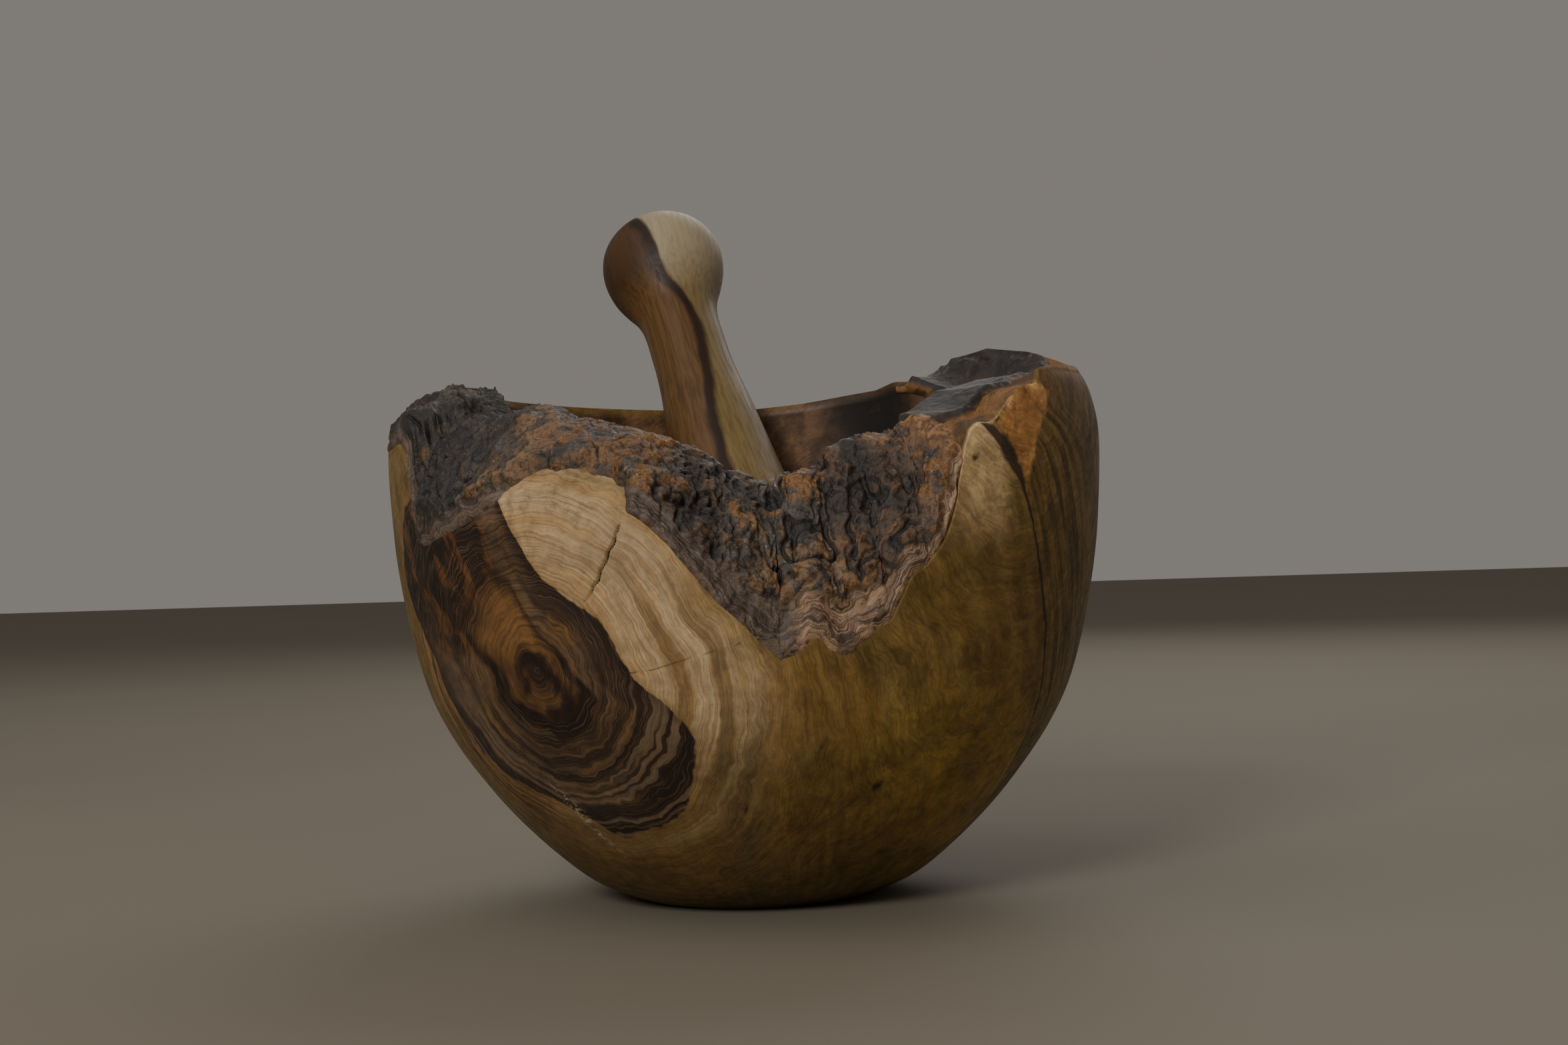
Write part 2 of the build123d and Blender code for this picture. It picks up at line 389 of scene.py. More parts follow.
def bowl_marks(p, angle, z, on_wall, inside):
    """Values on the bowl's points that its material turns into colours."""
    ring, heart, across, up = figure(p)
    bare_rim = (1 - on_wall) * (1 - inside)
    line = (angle - along(DARK_LINE, z)) * WALL_ARC
    patch = polygon_distance(angle * WALL_ARC, z, [(a * WALL_ARC, b) for a, b in ORANGE_PATCH])
    from_hook, up_hook = path_distance(angle, z, HOOK, 64)
    hook = 1 - smooth(0.7, 1.6, from_hook + 0.9 * fractal(p, 3, 3, 12) - 0.5 * up_hook)
    check = np.full(z.shape, FAR)
    for rows in HAIRLINES:
        past_end = np.maximum(0, np.maximum(rows[0][0] - angle, angle - rows[-1][0]))
        d = z - along(rows, angle) + 4 * past_end
        check = np.where(np.abs(d) < np.abs(check), d, check)
    knot = sum(1 - smooth(0.5 * size, size, np.hypot((angle - a) * 1.2, z - b))
               for a, b, size in KNOTS)
    stain = np.exp(-(((angle + 4 - 0.08 * (40 - z)) / 4.5) ** 2)) * smooth(46, 30, z)
    resin = np.exp(-(((angle + 39) / 3.2) ** 2) - ((z - 20.5 + 1.9 * (angle + 39)) / 2.2) ** 2)
    pillow = np.exp(-(((angle - 36.5) / 5.5) ** 4)) * smooth(64, 78, z)
    # shade: a dark streak high in the hollow at the back right, partly dark heartwood and partly
    # painted shade, weaker on the bare rim
    shade = np.exp(-(((angle - 146 + 0.25 * (96 - z)) / 15) ** 4)) * smooth(66, 78, z)
    wall = on_wall > 0.5
    return {
        "ring": ring, "heart": heart, "across": across, "above": up,
        "line": np.where(wall, line, OFF_WALL),
        "patch": np.where(inside > 0.5, OFF_WALL, patch),
        "check": np.where(wall, check, FAR), "hook": hook * on_wall,
        "knot": knot * on_wall, "stain": stain * on_wall, "resin": resin * on_wall,
        "pillow": pillow * on_wall, "shade": shade * np.maximum(inside, 0.6 * bare_rim),
        "top": bare_rim * smooth(26, 33, angle), "inside": inside,
        "edge": np.where(wall, wood_edge(angle) - z, FAR * inside),
    }


def bowl():
    """Turned wall, bare natural rim and hollow as one closed mesh."""
    angle = bowl_angles()[:, None]
    radius, z, on_wall, inside = bowl_rows(angle)
    angle = angle + 0 * z
    p = place(angle, radius, z)
    groove = crack_groove(angle, z) * on_wall
    uneven = 0.12 * fractal(p, 30, 2, 31) * on_wall * smooth(2, 12, z)
    outward = place(angle, 1, 0)
    p = p + outward * (uneven - CRACK_DEPTH * groove)[..., None]
    marks = bowl_marks(p, angle, z, on_wall, inside)
    obj = grid_mesh("turned_bowl", p, wrap_u=True, attributes={"crack": groove, **marks})
    close_poles(obj)
    return obj


# -------------------- bark

# Where the crust is gone next to the wall: (angle, how far in, 0 at the wall to 1 at the mouth).
BARE_NOSE = [(-41, -0.2), (-38, 0.02), (-35, 0.12), (-30, 0.22), (-26, 0.28), (-21, 0.30),
             (-18.5, 0.14), (-16, -0.2)]
BARE_SHOULDER = [(30, 0.55), (34, 0.40), (38, 0.33), (45, 0.36), (52, 0.32), (62, 0.30),
                 (78, 0.28), (90, 0.18), (99, 0.0), (105, -0.25), (140, -0.25)]
# How far in from the wall the crust is worn smooth, showing its layers: (angle, millimetres).
WORN_WIDTH = [(-90, 1.5), (-60, 3), (-40, 3), (-24, 5), (-8, 5), (0, 7), (6, 8), (10, 7), (15, 8),
              (21, 5), (28, 2.5), (33, 1.5), (60, 1.5)]
# How rusty the bark is, against grey: (angle, share).
WARM = [(-90, -0.2), (-60, -0.3), (-48, -0.15), (-36, 0.45), (-14, 0.55), (-6, 0.2), (4, 0.1),
        (14, 0.35), (26, 0.5), (34, 0.6), (60, 0.1), (180, 0.2)]
# How strong the bark's relief is: (angle, share).
STRENGTH = [(-90, 0.8), (-72, 1.1), (-60, 1.1), (-45, 0.8), (-25, 0.65), (-12, 1), (22, 1), (34, 0.7),
            (180, 0.8)]
BARK_ARC = math.radians(1) * 65  # millimetres along the crust for each degree
SUNK = 0.9  # how deep the crust goes into the bowl where it has run out
UNDERSIDE = 2.2  # how deep its hidden underside lies
UNDER_ROWS = 9


def bark_relief(p):
    """Height of the bark's flakes, ridges and grit, about -1.5 to 1.2, its fissures, and a tone."""
    q = p * np.array((1, 1, 0.6)) + 1.8 * np.stack([fractal(p, 6, 3, 40 + k) for k in range(3)], -1)
    level = 4.2 * fractal(q, 9, 3, 80) + 0.35 * fractal(p, 3, 3, 84)
    step = np.floor(level)
    flakes = (step + smooth(0.5, 0.95, level - step)) / 4.2
    ridges = 1 - 3 * np.abs(fractal(q, 5, 4, 85, 0.6))
    wide = 1 - smooth(0.01, 0.075, np.abs(fractal(q + 30, 9, 3, 60)))
    narrow = 1 - smooth(0.01, 0.06, np.abs(fractal(q - 20, 4.5, 3, 64)))
    fissure = np.maximum(wide, 0.6 * narrow) * smooth(-0.3, 0.15, fractal(p, 12, 2, 65))
    tone = np.clip(0.5 + 1.1 * fractal(q, 6, 3, 95), 0, 1)
    height = 1.9 * flakes + 0.42 * (ridges - 0.4) + 0.5 * fractal(p, 1.4, 4, 90, 0.65)
    return height - 0.9 * fissure, fissure, tone


def smoothed_normals(points):
    """Normals of a grid of points, pointing up and averaged along the rim."""
    blur = 9
    normal = np.cross(np.gradient(points, axis=1), np.gradient(points, axis=0))
    normal /= np.linalg.norm(normal, axis=-1, keepdims=True) + 1e-12
    normal *= np.sign(normal[..., 2:3] + 1e-9)
    for k in range(3):
        padded = np.pad(normal[..., k], ((blur // 2, blur // 2), (0, 0)), mode="edge")
        normal[..., k] = sum(padded[i: i + len(points)] for i in range(blur)) / blur
    return normal / (np.linalg.norm(normal, axis=-1, keepdims=True) + 1e-12)


def bark(name, start, end, columns, rows, thickness, relief, drop, taper, trim=0.0, bare=None):
    """Crust over the natural surface between two angles, closed underneath.

    It tapers off towards its ends, short of the mouth by the share trim, and where a table
    says that the wood is bare.
    """
    reach = 1.0 - trim
    column = np.linspace(start, end, columns)[:, None]
    inward = np.linspace(0, 1, rows)[None, :] * reach + 0 * column
    angle = column + 0 * inward
    base = place(angle, *natural(angle, inward, drop(angle)))

    ragged = 1.6 * fractal(base, 4, 4, 100)
    to_end = (end - angle) * BARK_ARC
    from_end = np.minimum((angle - start) * BARK_ARC, to_end) + ragged + 7 * fractal(base, 11, 3, 101)
    from_end = from_end - 2.5
    from_bare = (inward - along(bare, angle)) * 20 + ragged + 1 if bare else from_end
    from_mouth = (reach - inward) * 20 + 2 * ragged - 1.5 if trim else FAR
    kept = smooth(0, taper, np.minimum(from_end, from_bare)) * smooth(0, 2.5, from_mouth)
    slope = np.hypot(wall_radius(wood_edge(angle)) - MOUTH_RADIUS, mouth_edge(angle) - wood_edge(angle))
    from_wall = inward * np.maximum(slope, 8)

    height, fissure, tone = bark_relief(base)
    height = height * along(STRENGTH, angle)
    worn_share = (from_wall + 1.3 * fractal(base, 3, 3, 110)) / along(WORN_WIDTH, angle)
    worn = 1 - smooth(0.45, 1.0, worn_share)
    layers = np.sin(from_wall * 2 * np.pi / 0.75 + 7 * fractal(base, 6, 3, 120)) * 0.5
    body = relief * (height * (1 - 0.7 * worn) + 0.10 * layers * worn)
    lift = -SUNK + (SUNK + thickness * (1 - 0.55 * worn) + body) * kept
    top = base + smoothed_normals(base) * np.maximum(lift, -SUNK)[..., None]
    limit = wall_radius(np.clip(top[..., 2], 20, 111)) + 0.15 + 0.25 * height * worn
    outward = np.maximum(np.hypot(top[..., 0], top[..., 1]), 1e-6)
    top[..., :2] *= np.minimum(1, limit / outward)[..., None]

    back = np.linspace(1, 0, UNDER_ROWS)[None, :] * reach + 0 * column
    under = place(column + 0 * back, *natural(column + 0 * back, back, drop(column + 0 * back)))
    under = under - np.array((0, 0, UNDERSIDE))
    inset = 1 - 1.2 / np.hypot(under[..., 0], under[..., 1])
    under[:, -2:, :2] *= inset[:, -2:, None]
    values = {"relief": height * kept, "fissure": fissure * (1 - worn), "worn": worn, "tone": tone,
              "from_wall": from_wall, "kept": kept, "warm": along(WARM, angle),
              "blend": 1 - smooth(1.5, 9.0, to_end + ragged), "angle": angle}
    hidden = np.zeros((columns, UNDER_ROWS))
    return grid_mesh(name, np.concatenate([top, under], 1), wrap_v=True, cap=True,
                     attributes={key: np.hstack([grid, hidden]) for key, grid in values.items()})


# -------------------- pestle

# Where the pestle's brown heartwood meets its pale sapwood: (distance up it, place across it).
SEAM = [(-15, -4), (20, -4.4), (46, -4.4), (55, -3.6), (62, -2.6), (69, -1.2), (77, -0.3), (85, 0.2),
        (91, -0.3), (95, -1.5), (99, -3.9), (103, -6.0), (108, -7.0), (114, -7.4), (125, -7.8)]


def pestle():
    """Turned pestle along its leaning axis."""
    side = curve_through(PESTLE, 190)
    angle = np.linspace(0, 2 * np.pi, 120, endpoint=False)
    heading = np.array((math.sin(PESTLE_LEANS_TO), -math.cos(PESTLE_LEANS_TO), 0.0))
    axis = heading * math.sin(PESTLE_TILT) + np.array((0, 0, math.cos(PESTLE_TILT)))
    across = np.cross((0, 0, 1.0), heading)
    third = np.cross(axis, across)
    r = np.maximum(side[:, 0], POLE_RADIUS)[None, :]
    s = side[:, 1][None, :]
    a = angle[:, None]
    around = np.cos(a)[..., None] * across + np.sin(a)[..., None] * third
    p = HEAD_CENTRE + s[..., None] * axis + r[..., None] * around
    p = p + around * (0.12 * fractal(p, 12, 2, 7))[..., None]
    sideways = -r * np.cos(a) + 0 * s
    depth = r * np.sin(a) + 0 * s
    seam = sideways - along(SEAM, s) - 0.9 * fractal(p, 9, 3, 14)
    obj = grid_mesh("turned_pestle", p, wrap_u=True, attributes={
        "sideways": sideways, "depth": depth, "up": s + 0 * a, "seam": seam})
    close_poles(obj)
    return obj


# -------------------- material helpers


class Nodes:
    """Short forms for building one material's node tree."""

    def __init__(self, name):
        self.material = bpy.data.materials.new(name)
        self.material.use_nodes = True
        self.tree = self.material.node_tree
        self.shader = self.tree.nodes["Principled BSDF"]
        coordinates = self.tree.nodes.new("ShaderNodeTexCoord").outputs["Object"]
        self.mm = self.vector("MULTIPLY", coordinates, (1000, 1000, 1000))

    def link(self, value, socket):
        if isinstance(value, bpy.types.NodeSocket):
            self.tree.links.new(value, socket)
        else:
            socket.default_value = value

    def math(self, kind, a, b=0.0):
        node = self.tree.nodes.new("ShaderNodeMath")
        node.operation = kind
        for value, socket in zip((a, b), node.inputs):
            self.link(value, socket)
        return node.outputs[0]

    def add(self, a, b):
        return self.math("ADD", a, b)

    def times(self, a, b):
        return self.math("MULTIPLY", a, b)

    def centred(self, value):
        return self.math("SUBTRACT", value, 0.5)

    def absolute(self, value):
        return self.math("ABSOLUTE", value)

    def vector(self, kind, a, b=(0, 0, 0)):
        node = self.tree.nodes.new("ShaderNodeVectorMath")
        node.operation = kind
        self.link(a, node.inputs[0])
        self.link(b, node.inputs[1])
        return node.outputs[0]

    def combine(self, x, y, z):
        node = self.tree.nodes.new("ShaderNodeCombineXYZ")
        for value, socket in zip((x, y, z), node.inputs):
            self.link(value, socket)
        return node.outputs[0]

    def separate(self, v):
        node = self.tree.nodes.new("ShaderNodeSeparateXYZ")
        self.link(v, node.inputs[0])
        return node.outputs

    def attribute(self, name):
        node = self.tree.nodes.new("ShaderNodeAttribute")
        node.attribute_name = name
        return node.outputs["Fac"]

    def noise(self, vector, size, detail=4.0, rough=0.55):
        """Noise in 0..1 whose lumps are about size across in the units of the vector."""
        node = self.tree.nodes.new("ShaderNodeTexNoise")
        self.link(vector, node.inputs["Vector"])
        node.inputs["Scale"].default_value = 1.0 / size
        node.inputs["Detail"].default_value = detail
        node.inputs["Roughness"].default_value = rough
        return node.outputs["Fac"]

    def spots(self, shift, size, detail=4.0, rough=0.55):
        """Noise round about, shifted so that it is unlike the others."""
        return self.noise(self.vector("ADD", self.mm, shift), size, detail, rough)

    def streaks(self, x, y, z, detail, rough=0.55):
        """Noise over three values that are scaled beforehand."""
        return self.noise(self.combine(x, y, z), 1.0, detail, rough)

    def step(self, value, low, high, out_low=0.0, out_high=1.0):
        """Smooth step from out_low, where the value is low, to out_high."""
        node = self.tree.nodes.new("ShaderNodeMapRange")
        node.interpolation_type = "SMOOTHSTEP"
        self.link(value, node.inputs["Value"])
        for key, number in (("From Min", low), ("From Max", high), ("To Min", out_low),
                            ("To Max", out_high)):
            self.link(number, node.inputs[key])
        return node.outputs["Result"]

    def mix(self, factor, a, b):
        node = self.tree.nodes.new("ShaderNodeMix")
        node.data_type = "RGBA"
        self.link(factor, node.inputs["Factor"])
        for value, socket in ((a, node.inputs[6]), (b, node.inputs[7])):
            self.link((*value, 1.0) if isinstance(value, tuple) else value, socket)
        return node.outputs[2]

    def between(self, value, low, high, first, second):
        """First colour where the value is low, second where it is high."""
        return self.mix(self.step(value, low, high), first, second)

    def ramp(self, value, stops):
        node = self.tree.nodes.new("ShaderNodeValToRGB")
        self.link(value, node.inputs[0])
        elements = node.color_ramp.elements
        while len(elements) < len(stops):
            elements.new(0.5)
        for element, (position, colour) in zip(elements, stops):
            element.position = position
            element.color = (*colour, 1.0)
        return node.outputs[0]

    def bump(self, height, distance, strength):
        """Normal over a height in 0..1 that stands for a distance in millimetres."""
        node = self.tree.nodes.new("ShaderNodeBump")
        node.inputs["Strength"].default_value = strength
        node.inputs["Distance"].default_value = distance * MM
        self.link(height, node.inputs["Height"])
        return node.outputs[0]

    def set(self, **values):
        names = {"colour": "Base Color", "roughness": "Roughness", "normal": "Normal",
                 "specular": "Specular IOR Level"}
        for key, value in values.items():
            self.link(value, self.shader.inputs[names[key]])
        return self.material


# -------------------- wood of the bowl

# In SAP, the colours used at the foot and low down are painted shade: the wood is made darker towards
# the bottom.
SAP = SimpleNamespace(
    light=(0.45, 0.325, 0.182), ring=(0.30, 0.18, 0.072), fleck=(0.27, 0.17, 0.08),
    arc=(0.185, 0.115, 0.046), warm=(0.36, 0.20, 0.07), foot_shade=(0.20, 0.115, 0.035),
    left=(0.26, 0.14, 0.045), left_line=(0.05, 0.026, 0.01), pillow=(0.62, 0.43, 0.215),
    olive=(0.225, 0.146, 0.044), beside=(0.14, 0.084, 0.024), streak=(0.074, 0.043, 0.011),
    brown=(0.20, 0.108, 0.025), smudge=(0.095, 0.058, 0.016), amber=(0.40, 0.24, 0.034),
    low_shade=(0.07, 0.041, 0.011),
)
DUSKY = SimpleNamespace(
    light=(0.24, 0.145, 0.038), dark=(0.085, 0.048, 0.013), smudge=(0.07, 0.044, 0.014),
    far_light=(0.22, 0.125, 0.036), far_dark=(0.075, 0.04, 0.013), rust=(0.23, 0.095, 0.025),
)
HEART = SimpleNamespace(
    glow=(0.215, 0.105, 0.033), lens=(0.165, 0.085, 0.026), shoulder=(0.024, 0.013, 0.009),
    char=(0.007, 0.004, 0.003), ember=(0.13, 0.046, 0.012), line=(0.02, 0.011, 0.007),
    dark_band=(0.024, 0.016, 0.012), light_band=(0.205, 0.14, 0.082), hair=(0.15, 0.085, 0.042),
    hook=(0.017, 0.009, 0.007), halo=(0.20, 0.10, 0.035),
)
# Colours from the pith out to the heartwood's edge: (share of the way, colour).
HEART_STOPS = [
    (0.00, (0.04, 0.02, 0.013)), (0.07, (0.03, 0.014, 0.009)), (0.13, (0.085, 0.04, 0.016)),
    (0.21, (0.13, 0.062, 0.021)), (0.30, (0.085, 0.04, 0.015)), (0.34, (0.02, 0.011, 0.008)),
    (0.41, (0.018, 0.01, 0.007)), (0.47, (0.13, 0.074, 0.036)), (0.58, (0.12, 0.072, 0.038)),
    (0.66, (0.066, 0.041, 0.025)), (0.75, (0.14, 0.088, 0.05)), (0.90, (0.055, 0.036, 0.025)),
    (0.97, (0.026, 0.015, 0.01)),
]
# In MARK, the facet colours are partly painted light, the shade colour is partly painted shade, and the
# crack colour is painted shade.
MARK = SimpleNamespace(
    line=(0.032, 0.018, 0.013), lit_facet=(0.76, 0.44, 0.155), lit_facet_dark=(0.46, 0.21, 0.06),
    facet_fleck=(0.13, 0.05, 0.018), crest_dark=(0.07, 0.038, 0.02), crest=(0.23, 0.11, 0.036),
    check=(0.045, 0.026, 0.016), stain=(0.075, 0.062, 0.038), knot=(0.03, 0.018, 0.012),
    resin=(0.52, 0.42, 0.30), lining=(0.165, 0.082, 0.044), lining_dark=(0.07, 0.034, 0.018),
    shade=(0.007, 0.004, 0.003), crack=(0.01, 0.007, 0.005),
)


def wood_grain(n):
    """Values that the bowl's figure is made of: places, noises, and streaks along the rings."""
    g = SimpleNamespace()
    g.x, g.y, g.z = n.separate(n.mm)
    g.slow = n.centred(n.noise(n.mm, 16, 3))
    g.fast = n.centred(n.spots((40, 0, 7), 3.2, 4))
    g.fine = n.centred(n.spots((3, 80, 0), 1, 3))
    g.swirl = n.centred(n.spots((11, 70, 0), 7, 2))
    g.smudge = n.spots((0, 0, 55), 9, 6, 0.68)
    g.mottle = n.spots((21, 0, 0), 2.2, 5, 0.7)
    g.heart, g.line = n.attribute("heart"), n.attribute("line")
    g.direction = n.times(n.math("ARCTAN2", n.attribute("above"), n.attribute("across")), 180 / math.pi)
    g.turned = n.absolute(g.direction)
    twist = n.times(g.swirl, n.step(g.heart, 1.1, 0.85, 0.9, 3.4))
    g.ring = n.add(n.attribute("ring"), n.add(n.times(g.slow, 6), n.add(n.times(g.fast, 0.9), twist)))
    sheet = n.times(n.add(g.x, g.y), 0.022)
    g.streak = n.streaks(n.times(g.ring, 0.62), n.times(g.z, 0.03), sheet, 5, 0.65)
    g.broad = n.streaks(n.times(g.ring, 0.14), n.times(g.z, 0.02), n.times(g.y, 0.01), 3)
    g.lines = n.streaks(n.times(g.ring, 1.5), n.times(g.z, 0.05), n.times(sheet, 3), 4, 0.7)
    g.hair = n.streaks(n.times(g.ring, 4), n.times(g.z, 0.14), n.times(sheet, 6), 3, 0.6)
    return g


def pale_sapwood(n, g):
    """Pale wood beside the heartwood, with darker arcs low down and dark lines on its left."""
    arcs = n.streaks(n.times(g.ring, 0.40), n.times(g.z, 0.012), 8, 2, 0.5)
    pale = n.mix(n.step(g.lines, 0.44, 0.60, 0, 0.62), SAP.light, SAP.ring)
    pale = n.mix(n.times(n.step(g.mottle, 0.52, 0.66), n.step(g.z, 66, 78, 0, 0.5)), pale, SAP.fleck)
    pale = n.mix(n.times(n.step(arcs, 0.50, 0.62), n.step(g.z, 72, 54, 0, 0.85)), pale, SAP.arc)
    pale = n.mix(n.step(g.broad, 0.44, 0.66, 0, 0.6), pale, SAP.warm)
    # painted shade: the pale wood darkens towards the foot
    pale = n.mix(n.step(g.z, 42, 22, 0, 0.6), pale, SAP.foot_shade)
    left = n.between(g.lines, 0.44, 0.56, SAP.left, SAP.left_line)
    return n.mix(n.times(n.step(g.turned, 100, 128), 0.9), pale, left)


def olive_sapwood(n, g):
    """Streaky and smudged wood farther out, more amber low down on the right."""
    beside = n.streaks(n.times(g.line, 0.30), n.times(g.z, 0.028), 4, 5, 0.65)
    olive = n.between(beside, 0.42, 0.62, SAP.olive, SAP.beside)
    olive = n.mix(n.step(g.streak, 0.46, 0.66, 0, 0.6), olive, SAP.streak)
    olive = n.mix(n.step(g.broad, 0.42, 0.62, 0, 0.5), olive, SAP.brown)
    olive = n.mix(n.step(g.smudge, 0.50, 0.62, 0, 0.40), olive, SAP.smudge)
    low_right = n.times(n.step(g.z, 52, 26), n.step(g.x, 12, 40))
    return n.mix(n.times(low_right, n.step(g.smudge, 0.40, 0.62, 0.75, 0.4)), olive, SAP.amber)


def sapwood(n, g):
    away = n.step(n.add(g.ring, n.times(g.slow, 12)), 30, 44)
    sap = n.mix(away, pale_sapwood(n, g), olive_sapwood(n, g))
    # painted shade: the sapwood darkens towards the bottom, except on the right
    sap = n.mix(n.times(n.step(g.z, 30, 2, 0, 0.5), n.step(g.x, 50, 20)), sap, SAP.low_shade)
    pillow = n.times(n.attribute("pillow"), n.step(g.smudge, 0.40, 0.60, 1, 0.6))
    return n.mix(pillow, sap, SAP.pillow)


def dusky_wood(n, g):
    """Darker wood to the right of the dark line, with upright streaks and a rusty top."""
    upright = n.streaks(n.times(g.line, 0.42), n.times(g.z, 0.035), 0, 5, 0.65)
    dusky = n.between(upright, 0.40, 0.62, DUSKY.light, DUSKY.dark)
    dusky = n.mix(n.step(g.smudge, 0.50, 0.62, 0, 0.40), dusky, DUSKY.smudge)
    far = n.between(g.streak, 0.40, 0.62, DUSKY.far_light, DUSKY.far_dark)
    dusky = n.mix(n.step(g.line, 18, 42), dusky, far)
    top = n.times(n.step(g.z, 92, 102), n.step(g.line, 10, 22))
    return n.mix(n.times(top, n.step(g.smudge, 0.42, 0.58, 0.3, 0.9)), dusky, DUSKY.rust)


def heartwood(n, g):
    """Dark rings round the pith, torn and reddish up to its left, banded below it."""
    nudge = n.add(n.times(g.slow, 0.22), n.add(n.times(g.fast, 0.05), n.times(g.swirl, 0.16)))
    ratio = n.add(g.heart, nudge)
    heart = n.ramp(ratio, HEART_STOPS)
    glow = n.times(n.step(g.direction, 15, 60), n.step(g.turned, 178, 150))
    glow = n.times(n.times(glow, n.step(ratio, 0.46, 0.30)), n.step(ratio, 0.12, 0.20, 0, 0.75))
    heart = n.mix(glow, heart, HEART.glow)
    lens = n.times(n.step(n.noise(n.mm, 10, 3), 0.52, 0.60), n.step(ratio, 0.88, 0.78))
    heart = n.mix(n.times(lens, n.step(ratio, 0.5, 0.60, 0, 0.8)), heart, HEART.lens)
    shoulder = n.times(n.step(n.add(heart_outline(n, g), n.times(g.swirl, 0.25)), 0.62, 0.70),
                       n.step(n.absolute(n.add(g.direction, -15)), 100, 60))
    heart = n.mix(n.times(shoulder, 0.8), heart, HEART.shoulder)
    up_left = n.absolute(n.add(g.direction, -137))
    torn = n.streaks(n.times(n.add(g.x, n.times(g.z, 0.5)), 0.30),
                     n.times(n.math("SUBTRACT", g.z, g.x), 0.06), 3, 4, 0.6)
    red = n.times(n.step(n.add(up_left, n.times(g.swirl, 30)), 42, 24), n.step(ratio, 0.30, 0.5))
    heart = n.mix(n.times(red, 0.9), heart, n.between(torn, 0.50, 0.62, HEART.char, HEART.ember))
    heart = n.mix(n.step(g.lines, 0.50, 0.60, 0, n.step(ratio, 0.2, 0.6, 0.35, 0.6)), heart, HEART.line)
    bands = n.streaks(n.times(g.ring, 0.62), n.times(g.z, 0.01), 21, 1, 0.4)
    below = n.times(n.step(g.direction, 0, -25), n.step(g.turned, 178, 145))
    below = n.times(below, n.step(ratio, 0.40, 0.50))
    heart = n.mix(n.times(below, n.step(bands, 0.50, 0.58, 0, 0.75)), heart, HEART.dark_band)
    heart = n.mix(n.times(below, n.step(bands, 0.45, 0.37, 0, 0.70)), heart, HEART.light_band)
    heart = n.mix(n.step(g.hair, 0.50, 0.32, 0, 0.45), heart, HEART.hair)
    hook = n.times(n.attribute("hook"), n.step(g.fast, 0.2, -0.1, 0.7, 0.97))
    return n.mix(hook, heart, HEART.hook)


def heart_outline(n, g):
    """Share of the way from the pith to the heartwood's edge, 1 on the edge."""
    return n.add(g.heart, n.add(n.times(g.slow, 0.08), n.times(g.fast, 0.05)))


def dark_line(n, g, line, wood):
    """The dark line, wide at its top like a trapped strip of bark, and the bare orange facet behind it,
    painted bright as painted light where it faces up.
    """
    thick = n.times(n.step(n.noise(n.mm, 9, 2), 0.35, 0.7, 0.25, 0.7), n.step(g.z, 77, 84, 1, 4.5))
    off = n.math("DIVIDE", n.absolute(n.add(line, n.step(g.z, 77, 84, 0, 1))), thick)
    wood = n.mix(n.step(off, 0.5, 1.2, 0.92, 0), wood, MARK.line)
    # painted light: the bare orange facet is made brighter where its top faces up
    lit_facet = n.between(g.smudge, 0.40, 0.60, MARK.lit_facet, MARK.lit_facet_dark)
    lit_facet = n.mix(n.step(g.mottle, 0.55, 0.70, 0, 0.5), lit_facet, MARK.facet_fleck)
    patch = n.add(n.attribute("patch"), n.times(g.fast, 2.2))
    return n.mix(n.step(patch, -0.4, 0.8), wood, lit_facet)


def small_marks(n, g, wood):
    """Hairline checks, a grey stain near the foot, dark pin knots and specks of dried resin."""
    check = n.absolute(n.add(n.attribute("check"), n.times(g.fast, 0.9)))
    dotted = n.step(n.noise(n.mm, 2.5, 3), 0.40, 0.58)
    wood = n.mix(n.times(n.step(check, 0.05, 0.24, 0.6, 0), dotted), wood, MARK.check)
    stain = n.times(n.attribute("stain"), n.step(g.streak, 0.40, 0.62, 0.1, 0.55))
    wood = n.mix(stain, wood, MARK.stain)
    wood = n.mix(n.attribute("knot"), wood, MARK.knot)
    resin = n.times(n.attribute("resin"), n.step(n.noise(n.mm, 0.9, 4, 0.7), 0.50, 0.58))
    return n.mix(resin, wood, MARK.resin)


